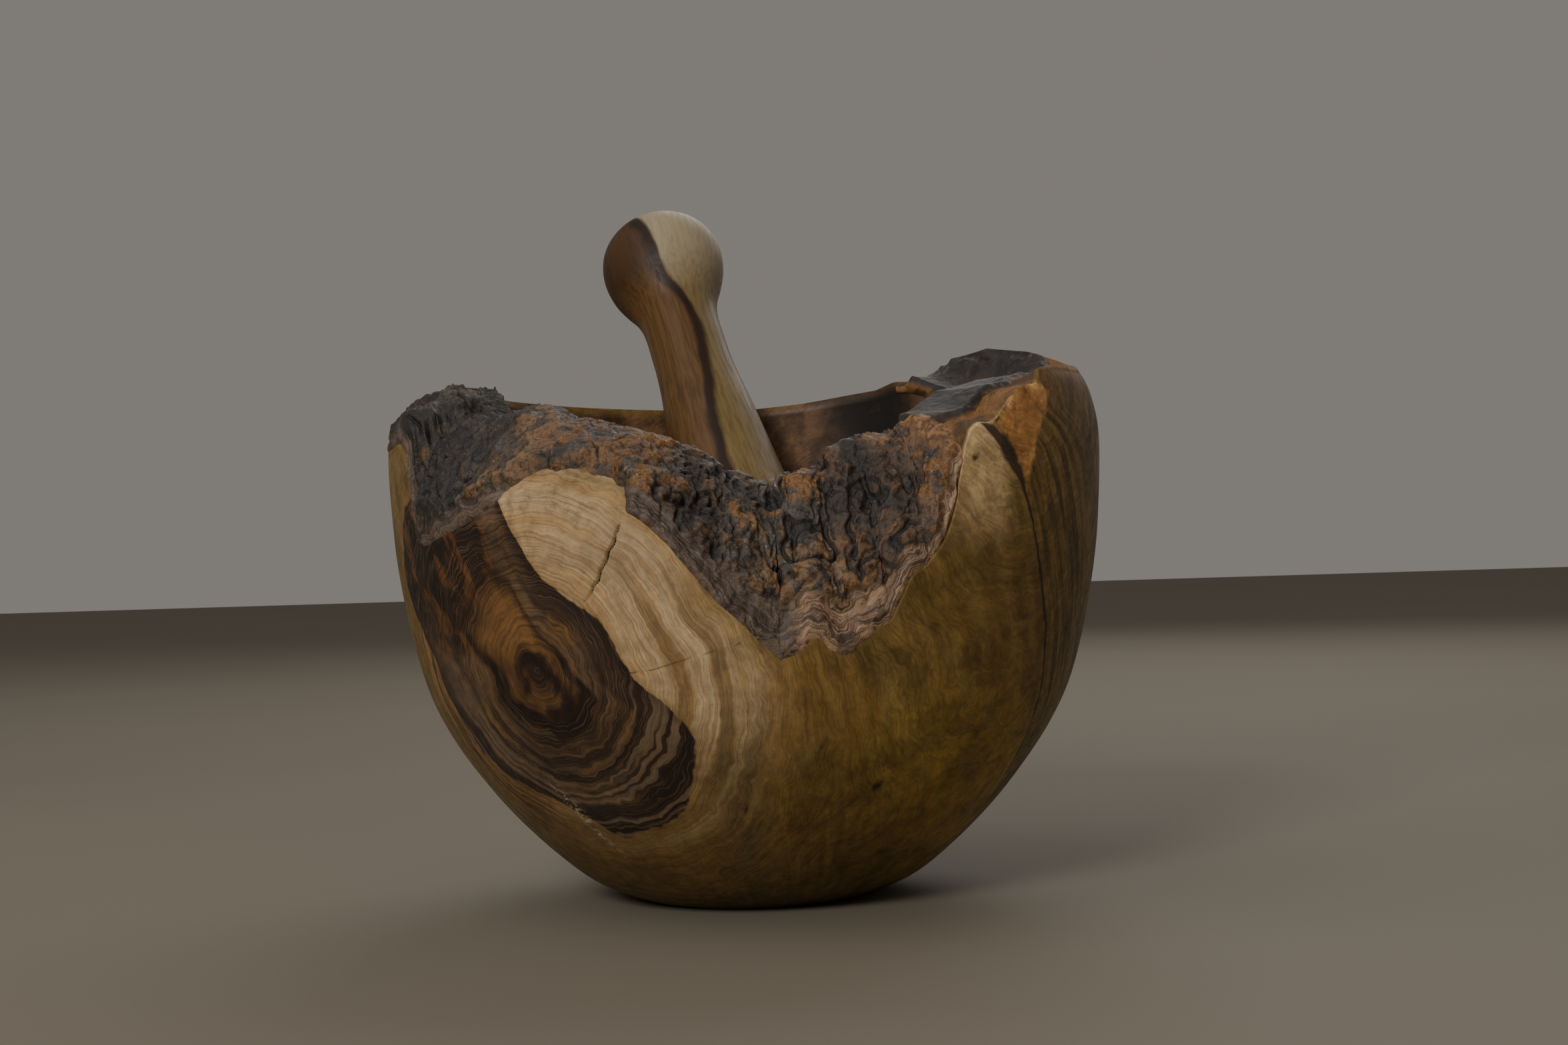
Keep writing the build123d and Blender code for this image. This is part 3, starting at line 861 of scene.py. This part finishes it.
def olive_wood():
    n = Nodes("olive_wood")
    g = wood_grain(n)
    line = n.add(g.line, n.times(g.fast, 1.2))
    sap = n.mix(n.step(line, -0.2, 2.2), sapwood(n, g), dusky_wood(n, g))
    outline = heart_outline(n, g)
    in_heart = n.step(n.add(outline, n.times(g.fine, 0.03)), 0.99, 1.015, 1, 0)
    wood = n.mix(in_heart, sap, heartwood(n, g))
    halo = n.times(n.step(outline, 1, 1.10, 1, 0), n.math("SUBTRACT", 1, in_heart))
    wood = n.mix(n.times(halo, 0.4), wood, HEART.halo)
    wood = dark_line(n, g, line, wood)
    crest = n.between(g.smudge, 0.42, 0.58, MARK.crest_dark, MARK.crest)
    wood = n.mix(n.times(n.attribute("top"), 0.9), wood, crest)
    wood = small_marks(n, g, wood)

    # the hollow is redder, with one dark streak high at the back right that is partly dark heartwood
    # and partly painted shade, and the crack is painted dark inside as painted shade
    inside = n.attribute("inside")
    lining = n.between(g.smudge, 0.42, 0.60, MARK.lining, MARK.lining_dark)
    wood = n.mix(n.times(inside, 0.85), wood, lining)
    # painted shade together with a dark heartwood streak: near black high in the hollow at the back
    # right
    shade = n.times(n.attribute("shade"), n.step(g.smudge, 0.72, 0.58, 0.6, 1))
    wood = n.mix(shade, wood, MARK.shade)
    for noise, low, high, brightest, darkest in ((g.mottle, 0.30, 0.70, 1.16, 0.82),
                                                 (g.hair, 0.35, 0.68, 1.12, 0.76),
                                                 (g.smudge, 0.38, 0.64, 1.08, 0.88)):
        wood = n.vector("MULTIPLY", wood, n.step(noise, low, high, brightest, darkest))
    # painted shade: the inside of the crack is painted near black
    wood = n.mix(n.step(n.attribute("crack"), 0.35, 0.85), wood, MARK.crack)

    # polished on the wall, duller at its top edge and in the hollow
    dull_edge = n.step(n.attribute("edge"), 0.3, 1.6, 0.85, 0.3)
    roughness = n.math("MAXIMUM", n.step(g.mottle, 0.3, 0.7, 0.40, 0.56), dull_edge)
    roughness = n.math("MAXIMUM", roughness, n.times(inside, 0.68))
    normal = n.bump(n.add(n.times(g.hair, 0.5), n.times(g.mottle, 0.6)), 0.14, 0.45)
    return n.set(colour=wood, roughness=roughness, normal=normal, specular=0.34)


# -------------------- bark's materials

# In BARK, the colours for low spots and fissures are painted shade.
BARK = SimpleNamespace(
    black=(0.014, 0.01, 0.008), grey=(0.076, 0.058, 0.043), dark_brown=(0.036, 0.02, 0.011),
    brown=(0.12, 0.064, 0.03), tan=(0.24, 0.135, 0.058), rust=(0.27, 0.118, 0.025),
    dark_rust=(0.10, 0.042, 0.012), lichen=(0.14, 0.128, 0.116), speck=(0.40, 0.37, 0.35),
    blotch=(0.018, 0.015, 0.013), hollow_shade=(0.012, 0.009, 0.008), fissure=(0.008, 0.006, 0.005),
    layer_dark=(0.046, 0.03, 0.022), layer=(0.135, 0.094, 0.066), honey_dark=(0.07, 0.036, 0.018),
    honey=(0.35, 0.22, 0.13), layer_grit=(0.27, 0.23, 0.20), layer_spot=(0.045, 0.028, 0.022),
    wood=(0.29, 0.15, 0.058), wood_dark=(0.10, 0.046, 0.019),
)
CRUST = SimpleNamespace(
    dark=(0.025, 0.022, 0.021), grey=(0.043, 0.037, 0.036), brown=(0.06, 0.038, 0.026),
    pale=(0.12, 0.115, 0.12), edge_dark=(0.085, 0.045, 0.022), edge=(0.24, 0.125, 0.045),
    chip=(0.36, 0.22, 0.115),
)


def rough_bark(n, broad, medium, small, grit):
    """Grey and brown flakes with rust, lichen and pale specks, painted shade in their low spots, and
    black cracks whose black is painted shade.
    """
    relief, warm = n.attribute("relief"), n.attribute("warm")
    tone = n.times(n.centred(n.attribute("tone")), 0.25)
    grey = n.between(small, 0.38, 0.62, BARK.black, BARK.grey)
    brown = n.between(small, 0.38, 0.60, BARK.dark_brown, BARK.brown)
    base = n.between(n.add(n.add(medium, n.times(warm, 0.30)), tone), 0.50, 0.72, grey, brown)
    tan = n.times(n.step(relief, -0.15, 0.65), n.step(n.add(medium, n.times(warm, 0.14)), 0.46, 0.58))
    base = n.mix(n.times(tan, n.step(small, 0.40, 0.60, 0.2, 0.9)), base, BARK.tan)
    rusty = n.add(n.add(broad, n.times(warm, 0.24)), n.times(n.centred(medium), 0.7))
    rust = n.times(n.step(rusty, 0.58, 0.69), n.step(relief, -0.7, 0.1))
    base = n.mix(n.times(rust, n.step(small, 0.38, 0.56, 0.2, 0.95)), base,
                 n.between(grit, 0.40, 0.62, BARK.rust, BARK.dark_rust))
    patches = n.math("SUBTRACT", n.spots((70, 3, 20), 6.5, 4), n.times(warm, 0.05))
    lichen = n.times(n.step(patches, 0.50, 0.62), n.step(grit, 0.42, 0.60))
    base = n.mix(n.times(lichen, n.step(warm, -0.1, 0.5, 0.6, 0.35)), base, BARK.lichen)
    base = n.mix(n.times(n.step(n.spots((5, 60, 0), 0.7, 2), 0.69, 0.76), 0.7), base, BARK.speck)
    blotch = n.times(n.step(n.spots((15, 0, 90), 7.5, 3), 0.45, 0.57), n.step(warm, 0.2, -0.2))
    base = n.mix(n.times(blotch, 0.8), base, BARK.blotch)
    base = n.vector("MULTIPLY", base, n.step(warm, -0.25, 0.1, 0.72, 1))
    # painted shade: the bark darkens in its low spots
    base = n.mix(n.step(relief, -1.3, -0.1, 0.80, 0), base, BARK.hollow_shade)
    # painted shade: the fissures are painted near black
    return n.mix(n.step(n.attribute("fissure"), 0.25, 0.9, 0, 0.8), base, BARK.fissure)


def worn_bark(n, broad, medium, grit):
    """Layers of the bark where it is worn smooth, honey-coloured to the right of the dip."""
    layered = n.add(n.attribute("from_wall"), n.times(n.centred(broad), 9))
    layer = n.streaks(n.times(layered, 2.6), n.times(broad, 2), n.times(medium, 0.8), 3)
    worn = n.between(layer, 0.38, 0.60, BARK.layer_dark, BARK.layer)
    honey = n.between(layer, 0.38, 0.60, BARK.honey_dark, BARK.honey)
    worn = n.between(n.separate(n.mm)[0], 6, 10, worn, honey)
    worn = n.mix(n.step(grit, 0.60, 0.74, 0, 0.45), worn, BARK.layer_grit)
    return n.mix(n.step(medium, 0.52, 0.62, 0, 0.55), worn, BARK.layer_spot)


def bark_material():
    n = Nodes("bark")
    broad, medium = n.spots((0, 33, 0), 9, 3), n.noise(n.mm, 3.6, 4, 0.6)
    small, grit = n.noise(n.mm, 1.1, 5, 0.7), n.spots((9, 9, 9), 0.4, 3, 0.7)
    colour = n.between(n.attribute("worn"), 0.25, 0.70, rough_bark(n, broad, medium, small, grit),
                       worn_bark(n, broad, medium, grit))
    wooden = n.between(small, 0.38, 0.60, BARK.wood, BARK.wood_dark)
    to_wood = n.add(n.attribute("blend"), n.times(n.centred(medium), 0.9))
    colour = n.between(to_wood, 0.45, 0.80, colour, wooden)
    normal = n.bump(n.add(n.times(small, 0.8), n.times(grit, 0.45)), 0.45, 0.8)
    return n.set(colour=colour, roughness=n.step(small, 0.35, 0.65, 0.38, 0.66), normal=normal)


def weathered_bark():
    """Thin grey crust, brown at its edges, with one pale chip at its far end."""
    n = Nodes("weathered_bark")
    x, y, z = n.separate(n.mm)
    stretched = n.combine(n.times(x, 0.35), n.times(y, 0.6), z)
    streak = n.noise(stretched, 2.2, 5, 0.6)
    blotch = n.noise(n.mm, 8, 3)
    crust = n.between(streak, 0.38, 0.62, CRUST.dark, CRUST.grey)
    crust = n.mix(n.step(blotch, 0.50, 0.66, 0, 0.6), crust, CRUST.brown)
    crust = n.mix(n.step(n.spots((30, 0, 0), 2.5, 3), 0.62, 0.72, 0, 0.5), crust, CRUST.pale)
    edge = n.step(n.add(n.attribute("kept"), n.times(n.centred(blotch), 0.8)), 0.30, 0.80, 1, 0)
    crust = n.mix(edge, crust, n.between(streak, 0.42, 0.58, CRUST.edge_dark, CRUST.edge))
    chip = n.times(n.step(n.attribute("angle"), 132.5, 134.5), n.step(streak, 0.40, 0.48))
    crust = n.mix(n.times(chip, 0.85), crust, CRUST.chip)
    normal = n.bump(n.noise(stretched, 1.2, 5, 0.65), 0.3, 0.6)
    return n.set(colour=crust, roughness=0.62, normal=normal, specular=0.28)


# -------------------- wood of the pestle

# In SHAFT, the pale colours on the shaft are the knob's pale sapwood darkened as painted shade.
SHAFT = SimpleNamespace(
    brown=(0.125, 0.064, 0.019), dark_brown=(0.07, 0.034, 0.011), red=(0.15, 0.072, 0.033),
    pale=(0.20, 0.138, 0.052), shaded_pale_dark=(0.135, 0.088, 0.031), knob=(0.36, 0.295, 0.19),
    knob_dark=(0.31, 0.248, 0.155), knob_brown=(0.038, 0.019, 0.009), band=(0.02, 0.009, 0.005),
    hair=(0.10, 0.055, 0.022),
)


def pestle_wood():
    """Brown heartwood on the left, pale sapwood on the right and a dark band between them."""
    n = Nodes("pestle_wood")
    side, deep, up = n.attribute("sideways"), n.attribute("depth"), n.attribute("up")
    drift = n.noise(n.combine(side, deep, n.times(up, 0.09)), 7, 3)
    line = n.add(n.attribute("seam"), n.times(n.centred(drift), 1.6))
    grain = n.streaks(n.times(side, 1.4), n.times(deep, 1.4), n.times(up, 0.05), 5, 0.6)
    hair = n.streaks(n.times(side, 6), n.times(deep, 6), n.times(up, 0.14), 3, 0.6)
    brown = n.between(grain, 0.36, 0.66, SHAFT.brown, SHAFT.dark_brown)
    brown = n.mix(n.step(drift, 0.44, 0.60, 0, 0.5), brown, SHAFT.red)
    # painted shade: the pale sapwood on the shaft is darker than the same wood on the knob
    pale = n.between(up, 92, 106, n.between(grain, 0.40, 0.66, SHAFT.pale, SHAFT.shaded_pale_dark),
                     n.between(grain, 0.40, 0.66, SHAFT.knob, SHAFT.knob_dark))
    wood = n.between(line, -0.3, 0.6, brown, pale)
    knob = n.times(n.step(up, 97, 105), n.step(line, -3, 0, 1, 0.6))
    wood = n.mix(n.times(knob, n.step(line, -0.3, 0.3, 0.65, 0)), wood, SHAFT.knob_brown)
    band = n.math("DIVIDE", n.absolute(n.add(line, 0.7)), n.step(drift, 0.3, 0.7, 1.1, 2.3))
    wood = n.mix(n.step(band, 0.25, 1, 0.95, 0), wood, SHAFT.band)
    wood = n.mix(n.step(hair, 0.55, 0.8, 0, 0.35), wood, SHAFT.hair)
    return n.set(colour=wood, roughness=n.step(grain, 0.3, 0.7, 0.42, 0.54),
                 normal=n.bump(hair, 0.08, 0.3), specular=0.24)


# -------------------- pieces


def no_drop(angle):
    """Back and right crusts lie right on the mouth edge."""
    return 0 * angle


def dress(obj, material, body, node):
    """Gives a piece its material, hangs it under its body's empty and hides the node of the part that
    it stands for.
    """
    obj.data.materials.append(material)
    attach(obj, body)
    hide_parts(node)


bark_look = bark_material()
dress(bowl(), olive_wood(), "mortar", "mortar_bowl")
front = bark("front_bark_crust", -88, 37, columns=570, rows=150, thickness=2.9, relief=1.05,
             drop=front_drop, taper=4.0, bare=BARE_NOSE)
dress(front, bark_look, "mortar", "front_bark")
back = bark("back_bark_crust", 148, 218, columns=330, rows=90, thickness=2.2, relief=0.9,
            drop=no_drop, taper=6.0, trim=0.25)
dress(back, bark_look, "mortar", "back_bark")
right = bark("right_bark_crust", 30, 139, columns=380, rows=90, thickness=1.4, relief=0.28,
             drop=no_drop, taper=2.5, bare=BARE_SHOULDER)
dress(right, weathered_bark(), "mortar", "right_bark")
dress(pestle(), pestle_wood(), "pestle", "pestle")

# -------------------- camera, light and floor

EYE = Vector((0, -451 * MM, 66.4 * MM))
LENS = 52.0
YAW, PITCH, ROLL = math.radians(0.94), math.radians(0.86), math.radians(1.7)


def look(eye):
    """Camera level with the rim, turned a little right and up, and rolled clockwise."""
    forward = Vector((math.sin(YAW) * math.cos(PITCH), math.cos(YAW) * math.cos(PITCH),
                      math.sin(PITCH)))
    level = Vector((math.cos(YAW), -math.sin(YAW), 0))
    above = level.cross(forward)
    right = level * math.cos(ROLL) - above * math.sin(ROLL)
    up = level * math.sin(ROLL) + above * math.cos(ROLL)
    camera = bpy.data.objects.new("camera", bpy.data.cameras.new("camera"))
    camera.matrix_world = Matrix.Translation(eye) @ Matrix((right, up, -forward)).transposed().to_4x4()
    camera.data.lens = LENS
    camera.data.clip_start = 0.01
    bpy.context.collection.objects.link(camera)
    bpy.context.scene.camera = camera


def area_light(name, position, size, power, colour):
    light = bpy.data.objects.new(name, bpy.data.lights.new(name, "AREA"))
    light.data.size = size
    light.data.energy = power
    light.data.color = colour
    light.location = position
    light.rotation_euler = (Vector((0, 0, 0.06)) - Vector(position)).to_track_quat("-Z", "Y").to_euler()
    bpy.context.collection.objects.link(light)


def floor():
    mesh = bpy.data.meshes.new("floor")
    half = 4.0
    mesh.from_pydata([(-half, -half, 0), (half, -half, 0), (half, half, 0), (-half, half, 0)], [],
                     [(0, 1, 2, 3)])
    obj = bpy.data.objects.new("floor", mesh)
    bpy.context.collection.objects.link(obj)
    n = Nodes("pale_floor")
    tone = n.noise(n.mm, 220, 2)
    obj.data.materials.append(n.set(colour=n.mix(tone, (0.170, 0.146, 0.108), (0.195, 0.170, 0.128)),
                                    roughness=0.8))


look(EYE)
# Lights: position and size in metres, power in watts.
area_light("key", (-0.42, -1.00, 0.56), 0.32, 8.5, (1.0, 0.96, 0.90))
area_light("fill", (-0.5, -0.2, 1.0), 0.8, 2.0, (0.95, 0.97, 1.0))
area_light("back", (0.3, 0.9, 0.8), 0.8, 4.0, (1.0, 0.98, 0.95))
floor()
world = bpy.data.worlds.new("world")
world.use_nodes = True
background = world.node_tree.nodes["Background"].inputs
background["Color"].default_value = (0.72, 0.67, 0.61, 1)
background["Strength"].default_value = 0.30
bpy.context.scene.world = world
